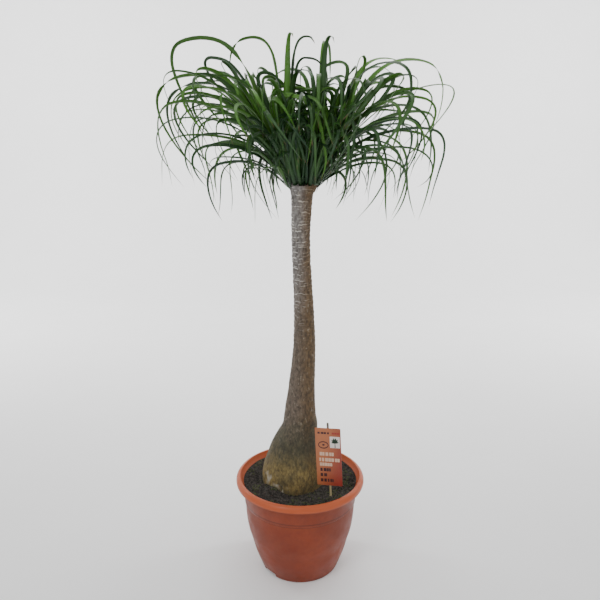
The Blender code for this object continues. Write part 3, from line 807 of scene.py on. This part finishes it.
def make_heads(heads, material):
    """The heads' skin, set with old leaf bases that the leaves hide."""
    points, faces = [], []
    for low, low_radius, high, high_radius in heads.values():
        axis = high - low
        start = len(points)
        for i in range(HEAD_RINGS):
            share = blend(*HEAD_SPAN, i / (HEAD_RINGS - 1))
            middle = low + axis * share
            radius = max(HEAD_LEAST, blend(low_radius, high_radius, share)) - HEAD_INSET
            radius = min(radius, low_radius + HEAD_LEAST)
            for k in range(HEAD_SIDES):
                angle = math.tau * k / HEAD_SIDES
                rough = 1 + 0.05 * math.sin(9 * angle + 14 * share)
                way = Vector((math.cos(angle), math.sin(angle), 0.0))
                points.append(middle + way * radius * rough)
        for face in tube_faces(HEAD_RINGS, HEAD_SIDES):
            faces.append(tuple(start + index for index in face))
    mesh = mesh_of("heads", points, faces)
    float_attribute(mesh, "callus", [0.0] * len(points))
    new_object("head_skin", mesh, "bark", material)


# ---- Leaves ----
def leaf_layers(shape):
    """A leaf's points as layers from its tip, when one vertex is its tip."""
    for tip in shape.verts:
        if len(tip.link_edges) != 4:
            continue
        seen = {tip}
        layers = [[tip]]
        while True:
            ahead = []
            for vert in layers[-1]:
                for edge in vert.link_edges:
                    other = edge.other_vert(vert)
                    if other not in seen:
                        seen.add(other)
                        ahead.append(other)
            if not ahead:
                break
            layers.append(ahead)
        if all(len(layer) == 4 for layer in layers[1:]):
            return layers
    raise ValueError("a leaf node has no clear tip")


def leaf_sections(node):
    """A packed leaf's stations from its foot to its tip, as rows of middle and half width vectors."""
    shape = bmesh.new()
    shape.from_mesh(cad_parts[node].data)
    bmesh.ops.remove_doubles(shape, verts=shape.verts, dist=WELD)
    layers = leaf_layers(shape)
    rows, edge_middles = [], []
    left_before = None
    for layer in reversed(layers[1:]):
        spots = [v.co.copy() for v in layer]
        pairs = [(a, b) for i, a in enumerate(spots) for b in spots[i + 1:]]
        left, right = max(pairs, key=lambda pair: (pair[0] - pair[1]).length)
        if left_before is not None and (right - left_before).length < (left - left_before).length:
            left, right = right, left
        left_before = left
        ribs = [p for p in spots if p not in (left, right)]
        middle = (ribs[0] + ribs[1]) / 2
        rows.append((*middle, *((left - right) / 2)))
        edge_middles.append((left + right) / 2)
    tip = layers[0][0].co
    rows.append((*tip, 0.0, 0.0, 0.0))
    shape.free()
    raised = 0.0
    for i, edge_middle in enumerate(edge_middles):
        middle = Vector(rows[i][:3])
        along = Vector(rows[i + 1][:3]) - middle
        raised += (edge_middle - middle).dot(along.cross(Vector(rows[i][3:])))
    if raised < 0:
        rows = [(*row[:3], *(-part for part in row[3:])) for row in rows]
    return rows


def lengths_along(points):
    """How far each point is from the first, along the line through them."""
    lengths = [0.0]
    for a, b in zip(points, points[1:]):
        lengths.append(lengths[-1] + (b - a).length)
    return lengths


def blade(rows, draw):
    """A fine blade's points and faces from rows of middle and half width vectors, with its attributes."""
    fine = smooth_through(rows, max(2, round(BLADE_STATIONS / (len(rows) - 1))))
    middles = [Vector(row[:3]) for row in fine]
    halves = [Vector(row[3:6]) for row in fine]
    lengths = lengths_along(middles)
    total = lengths[-1]
    phase = draw.uniform(0, 9)
    points, along_values, across_values = [], [], []
    last = len(fine) - 1
    for i in range(last):
        along = (middles[i + 1] - middles[max(i - 1, 0)]).normalized()
        half = halves[i].length
        side = halves[i].normalized()
        side = (side - along * side.dot(along)).normalized()
        upper = along.cross(side)
        share = lengths[i] / total
        channel = 2 * half * BLADE_CHANNEL * min(1.0, share / BLADE_NECK)
        thick = BLADE_THICK * (1 - 0.6 * share) / 2
        ripple = 0.06 * half * math.sin(phase + 40 * share)
        upside = [(x, 1) for x in BLADE_ACROSS]
        downside = [(x, -1) for x in reversed(BLADE_ACROSS[1:-1])]
        for x, sign in upside + downside:
            lift = channel * abs(x) ** 1.3 + sign * thick * (1 - x * x) + ripple * x
            points.append(middles[i] + side * (half * x) + upper * lift)
            along_values.append(share)
            across_values.append(x)
    points.append(middles[-1])
    along_values.append(1.0)
    across_values.append(0.0)
    around = 2 * len(BLADE_ACROSS) - 2
    faces = tube_faces(last, around, True, False)
    end = (last - 1) * around
    faces += [(end + k, end + (k + 1) % around, last * around) for k in range(around)]
    return points, faces, along_values, across_values


def leaf_piece(name, blades, tones, material):
    """One piece of blades, each (points, faces, along, across) with its own tone, warmth and blue painted
    shade.
    """
    points, faces, along, across = [], [], [], []
    values = {"tone": [], "warm": [], "blue_shade": []}
    for (spots, sides, alongs, acrosses), shades in zip(blades, tones):
        start = len(points)
        points += spots
        faces += [tuple(start + index for index in face) for face in sides]
        along += alongs
        across += acrosses
        for key, shade in zip(values, shades):
            values[key] += [shade] * len(spots)
    mesh = mesh_of(name, points, faces)
    float_attribute(mesh, "along", along)
    float_attribute(mesh, "across", across)
    for key, numbers in values.items():
        float_attribute(mesh, key, numbers)
    return new_object(name, mesh, "leaf", material)


def bezier(points, t):
    weights = ((1 - t) ** 3, 3 * t * (1 - t) ** 2, 3 * t * t * (1 - t), t ** 3)
    return Vector([sum(w * p[k] for w, p in zip(weights, points)) for k in (0, 1)])


def arch(rise, peak, tip, fall):
    """A leaf's course in its own upright plane, as (reach, height) points."""
    up, down = math.radians(rise), math.radians(fall)
    climb = math.hypot(*peak)
    drop = math.hypot(tip[0] - peak[0], tip[1] - peak[1])
    lead = min(0.35 * climb, peak[0] + 0.01)
    near_handle = (0.45 * climb * math.cos(up), 0.45 * climb * math.sin(up))
    near = [(0, 0), near_handle, (peak[0] - lead, peak[1]), peak]
    curl = max(0.0, min(1.0, (-100 - fall) / 40))
    back = (0.45 + 0.12 * curl) * drop
    far_handle = (tip[0] - back * math.cos(down), tip[1] - back * math.sin(down))
    far = [peak, (peak[0] + (0.50 + 0.25 * curl) * drop, peak[1]), far_handle, tip]
    climbing = [bezier(near, k / ARCH_STEPS) for k in range(ARCH_STEPS)]
    return climbing + [bezier(far, k / ARCH_STEPS) for k in range(ARCH_STEPS + 1)]


def blade_width(share, width):
    swell = min(1.0, BLADE_BASE + (1 - BLADE_BASE) * share / BLADE_NECK)
    return width * swell * (1 - share) ** BLADE_TAPER


def grown_rows(head, azimuth, tier, rise, peak, tip, fall, width, roll, sway, slant):
    """Rows for a leaf that grows from a head at an azimuth and tier. Slant shifts it sideways as it rises."""
    low, low_radius, high, high_radius = head
    share = blend(-1.3, 1.5, tier)
    middle = low + (high - low) * share
    radius = max(0.003, blend(low_radius, high_radius, share))
    turn = math.radians(azimuth)
    out = Vector((math.cos(turn), math.sin(turn), 0.0))
    foot = middle + out * radius
    course = arch(rise, peak, tip, fall)
    spots = []
    for i, place in enumerate(course):
        share = i / (len(course) - 1)
        angle = turn + math.radians(sway) * share * share
        shift = slant * max(0.0, place.y)
        spots.append(foot + Vector((math.cos(angle) * place.x + shift, math.sin(angle) * place.x, place.y)))
    lengths = lengths_along(spots)
    rows = []
    for i, spot in enumerate(spots[:-1]):
        along = (spots[i + 1] - spots[max(i - 1, 0)]).normalized()
        share = lengths[i] / lengths[-1]
        side = Vector((-out.y, out.x, 0.0))
        side = Matrix.Rotation(math.radians(roll) * min(1.0, share / 0.4), 3, along) @ side
        rows.append((*spot, *(side.normalized() * blade_width(share, width) / 2)))
    rows.append((*spots[-1], 0.0, 0.0, 0.0))
    return rows


def spiral_rows(head, count, first, draw):
    """Rows of the leaves that fill a head, from low to high. Low ones spread; high and front ones stand."""
    out = []
    lean = math.copysign(1.0, head[2].x - head[0].x)
    for i in range(count):
        tier = 0.94 * ((i + 0.5) / count) ** 1.15
        azimuth = (first + GOLDEN_ANGLE * i) % 360
        sideways = abs(math.cos(math.radians(azimuth)))
        front = max(0.0, -math.sin(math.radians(azimuth)))
        inward = max(0.0, -math.cos(math.radians(azimuth)) * lean)
        spread = 0.12 + 0.11 * math.sin(math.pi * min(tier, 0.5))
        if tier > 0.5:
            spread = blend(0.23, 0.05, ((tier - 0.5) / 0.5) ** 1.3)
        reach = spread * (0.55 + 0.45 * sideways) * (1 - 0.55 * inward) * draw.uniform(*REACH_LUCK)
        height = blend(*HEIGHTS, tier) * draw.uniform(*HEIGHT_LUCK)
        height = blend(height, 0.09 + 0.55 * height, front)
        hang = (0.11 + 0.09 * math.sin(math.pi * tier)) * draw.uniform(*HANG_LUCK) * (0.36 + 0.64 * sideways)
        tip = (reach * (1 + blend(0.45, 0.30, tier) * draw.uniform(0.4, 1.2)), height - hang)
        rise = blend(*RISES, tier ** 0.8) + draw.uniform(-6, 6)
        rise = blend(rise, max(rise, 70), max(front, inward))
        fall = -(draw.uniform(72, 110) + 52 * sideways * draw.random() ** 1.6)
        width = blend(*WIDTHS, tier) * (1 + 0.3 * front) * draw.uniform(*WIDTH_LUCK)
        slant = lean * (0.12 + 0.30 * ramp(tier, 0.2, 0.8) + 0.15 * front)
        roll = draw.choice((-1, 1)) * draw.uniform(*ROLLS)
        sway = draw.uniform(-MOST_SWAY, MOST_SWAY)
        rows = grown_rows(head, azimuth, tier, rise, (reach, height), tip, fall, width, roll, sway, slant)
        out.append((rows, tier))
    return out


def inside_box(rows):
    """Whether a leaf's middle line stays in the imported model's box."""
    low, high = CAD_BOUNDS
    return all(low[k] - INSIDE_ROOM < row[k] < high[k] + INSIDE_ROOM for row in rows for k in range(3))


def leaf_shades(right, tier, draw):
    """A leaf's tone, warmth and blue shade: deep and bluish low down, brighter high up and on the right. The
    darkening and blueing low down is painted shade; the tone is also random per leaf.
    """
    # Painted shade: the tone is random but darker on low leaves, and the third value makes low leaves bluer.
    tone = min(1.0, draw.uniform(0.0, 1.0) ** 1.1 * blend(0.45, 1.30, tier))
    warm = draw.uniform(0.3, 1.0) if right else draw.uniform(0.0, 0.5)
    warm *= ramp(tier, 0.40, 0.80)
    return tone, warm, max(0.0, min(1.0, draw.uniform(0.6, 1.2) - 0.8 * tier))


def make_leaves(heads, material):
    draw = random.Random(SEED)
    for node in sorted(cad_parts):
        if not node.startswith("leaf_"):
            continue
        rows = leaf_sections(node)
        peak = max(row[2] for row in rows) - rows[0][2]
        shades = leaf_shades("right" in node, min(1.0, peak / 0.26), draw)
        piece = leaf_piece(node + "_blade", [blade(rows, draw)], [shades], material)
        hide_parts(node)
    for name, (count, first) in EXTRA_LEAVES.items():
        leaves = spiral_rows(heads[name], count, first, draw)
        for group in range(EXTRA_GROUPS):
            blades, tones = [], []
            for rows, tier in leaves:
                if int(tier * EXTRA_GROUPS) != group or not inside_box(rows):
                    continue
                blades.append(blade(rows, draw))
                tones.append(leaf_shades(name == "right", tier, draw))
            leaf_piece(f"{name}_head_leaves_{group + 1}", blades, tones, material)


# ---- Label ----
class LabelPlace:
    """The card and stake as packed: the stake's line, and the card's directions, middle and size."""

    def __init__(self):
        low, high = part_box("label_stake")
        stake = self.corners("label_stake")
        ends = []
        for height in (low[2], high[2]):
            near = [p for p in stake if abs(p.z - height) < END_REACH]
            ends.append(sum(near, Vector()) / len(near))
        self.bottom, self.top = ends
        self.up = (self.top - self.bottom).normalized()
        self.back = Vector((0.0, 0.0, 1.0)).cross(self.up).normalized()
        if self.back.y < 0:
            self.back.negate()
        self.across = self.back.cross(self.up)
        card = self.corners("label")
        ways = (self.across, self.up)
        spans = [(min(p.dot(way) for p in card), max(p.dot(way) for p in card)) for way in ways]
        self.width, self.height = (span[1] - span[0] for span in spans)
        self.middle = self.back * min(p.dot(self.back) for p in card)
        self.middle += self.across * sum(spans[0]) / 2 + self.up * sum(spans[1]) / 2

    def corners(self, node):
        """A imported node's corner points in the frame."""
        to_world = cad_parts[node].matrix_world
        return [to_world @ v.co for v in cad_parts[node].data.vertices]

    def spot(self, across, down, out=0.0):
        """A point on the card's face by its shares from the left and from the top, this far out in front."""
        sideways, raised = (across - 0.5) * self.width, (0.5 - down) * self.height
        return self.middle + self.across * sideways + self.up * raised - self.back * out


def slab(place, outline, back, front):
    """Points and faces of a thin slab over an outline of shares, between two distances out from the face."""
    count = len(outline)
    points = [place.spot(u, v, back) for u, v in outline] + [place.spot(u, v, front) for u, v in outline]
    faces = [tuple(reversed(range(count))), tuple(range(count, 2 * count))]
    for k in range(count):
        after = (k + 1) % count
        faces.append((k, after, count + after, count + k))
    return points, faces


def rounded_box(place, left, top, right, bottom, radius):
    """The outline of a box with round corners. The radius is in metres, the sides are shares."""
    ru, rv = radius / place.width, radius / place.height
    corners = (
        (right - ru, bottom - rv, 0), (left + ru, bottom - rv, 90),
        (left + ru, top + rv, 180), (right - ru, top + rv, 270),
    )
    outline = []
    for u, v, start in corners:
        for k in range(6):
            angle = math.radians(start + 90 * k / 5)
            outline.append((u + ru * math.cos(angle), v + rv * math.sin(angle)))
    return outline


def word_row(place, left, right, top, bottom, draw):
    """Small plain blocks in a row, like a line of print with nothing to read."""
    outlines = []
    at = left
    while at < right - 0.03:
        wide = min(draw.uniform(0.06, 0.12), right - at)
        outlines.append(rounded_box(place, at, top, at + wide, bottom, 0.0008))
        at += wide + draw.choice((0.012, 0.012, 0.04))
    return outlines


def print_piece(name, place, outlines, material, back=-0.0002, front=0.00025):
    points, faces = [], []
    for outline in outlines:
        spots, sides = slab(place, outline, back, front)
        faces += [tuple(len(points) + index for index in side) for side in sides]
        points += spots
    return new_object(name, mesh_of(name, points, faces, False), "label_card", material)


def ring_outlines(middle, radii, thickness):
    """An oval ring as a run of short blocks."""
    count = 28
    outlines = []
    for k in range(count):
        corners = []
        for turn, grow in ((k, 1), (k + 1, 1), (k + 1, -1), (k, -1)):
            angle = math.tau * turn / count
            corners.append((
                middle[0] + (radii[0] + grow * thickness / 2) * math.cos(angle),
                middle[1] + (radii[1] + grow * thickness * 0.3) * math.sin(angle),
            ))
        outlines.append(corners)
    return outlines


def plant_outlines(middle, size):
    """A small fan of leaves on a stem, as outlines of shares."""

    def spot(across, down):
        return middle[0] + across * size, middle[1] + down * size

    outlines = []
    for angle, length in ((-75, 0.8), (-45, 1.0), (-18, 1.1), (10, 1.05), (38, 1.0), (70, 0.85)):
        way = math.radians(angle)
        u, v = math.sin(way), -0.45 * math.cos(way)
        side_u, side_v = 0.24 * math.cos(way), 0.10 * math.sin(way)
        outlines.append([
            spot(-side_u * 0.4, -side_v * 0.4),
            spot((0.55 * u - side_u) * length, (0.55 * v - side_v) * length),
            spot(u * length, v * length + 0.05 * abs(u)),
            spot((0.55 * u + side_u) * length, (0.55 * v + side_v) * length),
            spot(side_u * 0.4, side_v * 0.4),
        ])
    outlines.append([spot(-0.05, 0.0), spot(0.05, 0.0), spot(0.11, 0.42), spot(-0.11, 0.42)])
    return outlines


def cane_rings(place, radius, distances, sides):
    """Rings of points round the stake's line, at distances from its foot."""
    axis = (place.top - place.bottom).normalized()
    turn = axis.to_track_quat("Z", "Y").to_matrix()
    points = []
    for along in distances:
        centre = place.bottom + axis * along
        points += [centre + turn @ Vector(spot) for spot in circle(radius, 0.0, sides)]
    return points


def make_label(draw):
    place = LabelPlace()
    low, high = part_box("label")
    card_material = card_look(low, high)
    card_points, card_faces = slab(place, rounded_box(place, 0.0, 0.0, 1.0, 1.0, 0.0025), -CARD_THICK, 0.0)
    stake_length = (place.top - place.bottom).length
    span = [stake_length * share for share in SLEEVE_SPAN]
    start, sides = len(card_points), SLEEVE_SIDES
    card_points += cane_rings(place, SLEEVE_OUTSIDE, span, sides)
    card_points += cane_rings(place, SLEEVE_INSIDE, span, sides)
    for k in range(sides):
        a, b = start + k, start + (k + 1) % sides
        c, d = a + 2 * sides, b + 2 * sides
        card_faces += [(a, b, b + sides, a + sides), (d, c, c + sides, d + sides)]
        card_faces += [(a, c, d, b), (a + sides, b + sides, d + sides, c + sides)]
    card_mesh = mesh_of("label_card", card_points, card_faces, False)
    card = new_object("label_card", card_mesh, "label_card", card_material)
    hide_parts("label")
    tapers = ((0.0, 0.2), (0.010, 0.9), (0.014, 1.0), (stake_length - 0.002, 1.0), (stake_length, 0.75))
    rings = []
    for along, share in tapers:
        rings += cane_rings(place, STAKE_RADIUS * share, (along,), STAKE_SIDES)
    stake_mesh = mesh_of("cane_stake", rings, tube_faces(len(tapers), STAKE_SIDES))
    stake = new_object("cane_stake", stake_mesh, "cane", cane_look(place))
    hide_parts("label_stake")
    ink = plain_look("dark_ink", (0.040, 0.010, 0.010), 0.5, 0.1)
    white = plain_look("pale_ink", (0.60, 0.40, 0.28), 0.5, 0.08)
    dark = [outline for row in DARK_ROWS for outline in word_row(place, *row, draw)]
    dark += ring_outlines((0.31, 0.292), (0.190, 0.055), 0.030)
    dark += [rounded_box(place, 0.27, 0.275, 0.36, 0.305, 0.0012)]
    print_piece("dark_print", place, dark, ink)
    print_piece("pale_print", place, [o for row in PALE_ROWS for o in word_row(place, *row, draw)], white)
    red = plain_look("red_ink", (0.30, 0.030, 0.020), 0.5, 0.1)
    print_piece("red_print", place, word_row(place, *RED_ROW, draw), red)
    panel = plain_look("panel_ink", (0.66, 0.60, 0.55), 0.45, 0.05)
    print_piece("picture_panel", place, [rounded_box(place, 0.57, 0.140, 0.96, 0.335, 0.001)], panel)
    leafy = plain_look("leafy_ink", (0.020, 0.050, 0.024), 0.5, 0.2)
    print_piece("plant_picture", place, plant_outlines((0.770, 0.250), 0.190), leafy, 0.0001, 0.0004)


def cane_look(place):
    """Grey-brown above the card, pale olive below it."""
    look = Look("cane", 0.6)
    grain = look.range(look.noise(160.0, 6.0, (1.0, 1.0, 0.08)), 0.35, 0.68)
    upper = look.mix(grain, (0.085, 0.066, 0.052), (0.18, 0.145, 0.115))
    lower = look.mix(grain, (0.30, 0.245, 0.120), (0.46, 0.390, 0.215))
    border = look.range(look.axis("Z"), place.middle.z - 0.04, place.middle.z + 0.04)
    look.colour(look.mix(border, lower, upper))
    look.bump(look.noise(300.0, 5.0, (1.0, 1.0, 0.06)), 0.0003, 0.5)
    return look.material


# ---- Stage ----
def make_stage():
    """A pale floor that curves up into a wall far behind."""
    half, front, bend, radius, top = 9.0, -7.0, 3.4, 1.6, 7.0
    line = [(front, 0.0), (bend, 0.0)]
    for k in range(1, 13):
        angle = math.radians(90 * k / 12)
        line.append((bend + radius * math.sin(angle), radius * (1 - math.cos(angle))))
    line.append((bend + radius, top))
    points = [(x, y, z) for y, z in line for x in (-half, half)]
    faces = [(2 * i, 2 * i + 1, 2 * i + 3, 2 * i + 2) for i in range(len(line) - 1)]
    mesh = bpy.data.meshes.new("sweep")
    mesh.from_pydata(points, [], faces)
    mesh.shade_smooth()
    floor = linked("sweep", mesh)
    mesh.materials.append(floor_look())
    world = bpy.data.worlds.new("studio")
    bpy.context.scene.world = world
    world.use_nodes = True
    world.node_tree.nodes["Background"].inputs["Color"].default_value = (1.0, 1.0, 1.0, 1.0)
    world.node_tree.nodes["Background"].inputs["Strength"].default_value = WORLD_STRENGTH
    for name, place, aim, size, power in LAMPS:
        lamp = bpy.data.lights.new(name, "AREA")
        lamp.size = size
        lamp.energy = power
        obj = linked(name, lamp)
        obj.location = place
        obj.rotation_euler = (Vector(aim) - Vector(place)).to_track_quat("-Z", "Y").to_euler()


def make_camera():
    lens = bpy.data.cameras.new("camera")
    lens.sensor_width = LENS
    lens.lens = LENS
    camera = linked("camera", lens)
    camera.location = CAMERA_PLACE
    camera.rotation_euler = (math.radians(90 - CAMERA_PITCH), 0.0, 0.0)
    bpy.context.scene.camera = camera


def main():
    draw = random.Random(SEED)
    bark = bark_look()
    shape = TrunkShape()
    heads = head_lines(shape)
    make_pot(pot_look())
    make_soil(soil_look("compost", (0.017, 0.015, 0.013), (0.075, 0.066, 0.058), 0.8))
    make_trunk(shape, bark)
    make_heads(heads, bark)
    make_leaves(heads, leaf_look())
    make_label(draw)

    def keep_off(x, y):
        return math.hypot(x - CAUDEX_FOOT[0], y - CAUDEX_FOOT[1]) < CAUDEX_FOOT[2]

    make_crumbs(
        "bark_crumbs", CRUMBS, (0.0015, 0.0042), 0.55,
        soil_look("crumb", (0.019, 0.016, 0.014), (0.095, 0.082, 0.070), 0.0), draw, keep_off,
    )
    make_crumbs(
        "moss_tufts", MOSS_TUFTS, (0.0018, 0.0040), 0.8,
        plain_look("moss", (0.070, 0.082, 0.032), 0.95, 0.5, 300.0), draw, keep_off,
        lambda x, y: ramp(wobble(x, y, 0, 0.03, 2.5), 0.0, 0.4),
    )
    make_stage()
    make_camera()


main()
